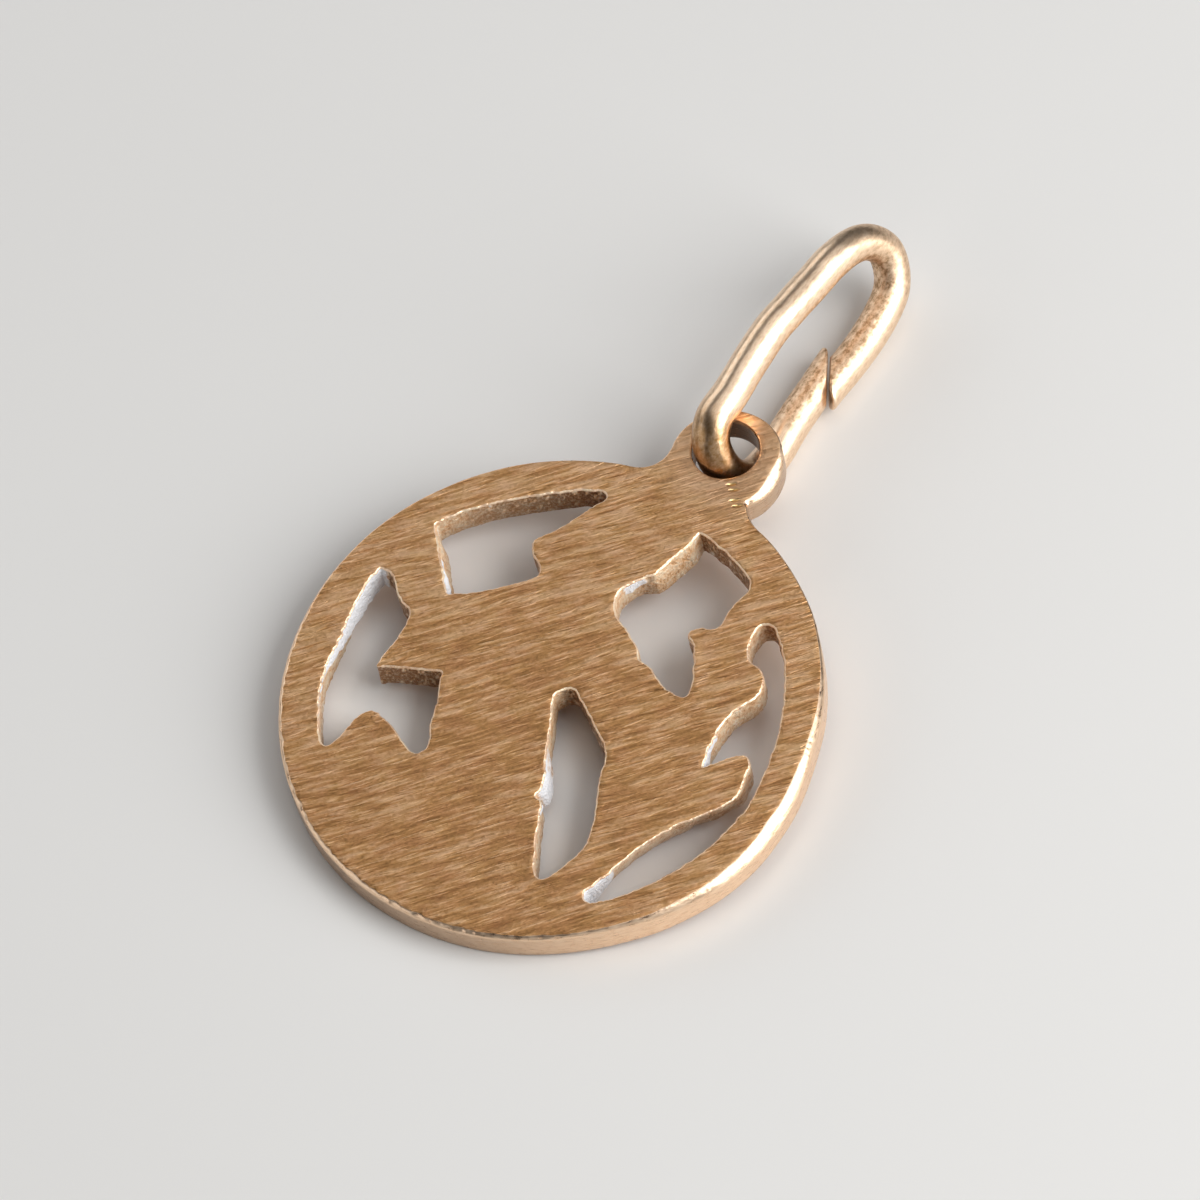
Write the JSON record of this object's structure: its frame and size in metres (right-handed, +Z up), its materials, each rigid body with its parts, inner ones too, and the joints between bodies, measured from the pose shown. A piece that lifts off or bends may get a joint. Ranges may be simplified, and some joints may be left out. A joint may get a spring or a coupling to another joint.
{
  "type": "zodiac pendant",
  "caption": "Flat round zodiac pendant, brushed and pierced with a cut-out figure, with its own eye and an oval wire jump ring that swings in the eye and takes a chain.",
  "frame": {"origin": "on the table that the pendant lies on, below the middle of its box", "axes": "+Z up from the table, +Y from the foot of the disc to the ring, +X to the right; the disc's front face looks up and leans 3.9 degrees back, because the ring holds its eye off the table"},
  "size_m": [0.016, 0.0266, 0.0036],
  "materials": {
    "brushed_gold": "brushed in one direction, with bright edges and grainy sawn walls",
    "polished_gold": "drawn wire, polished, with small tool marks"
  },
  "bodies": {
    "disc": {"pendant_disc": "brushed_gold"},
    "ring": {"jump_ring": "polished_gold"}
  },
  "joints": [
    {"name": "ring_swing", "type": "hinge", "parent": "disc", "child": "ring", "pos_m": [0, 0.00543, 0.00179], "axis": [0.8829, 0, 0.4695], "range_deg": [-85, 100]}
  ]
}
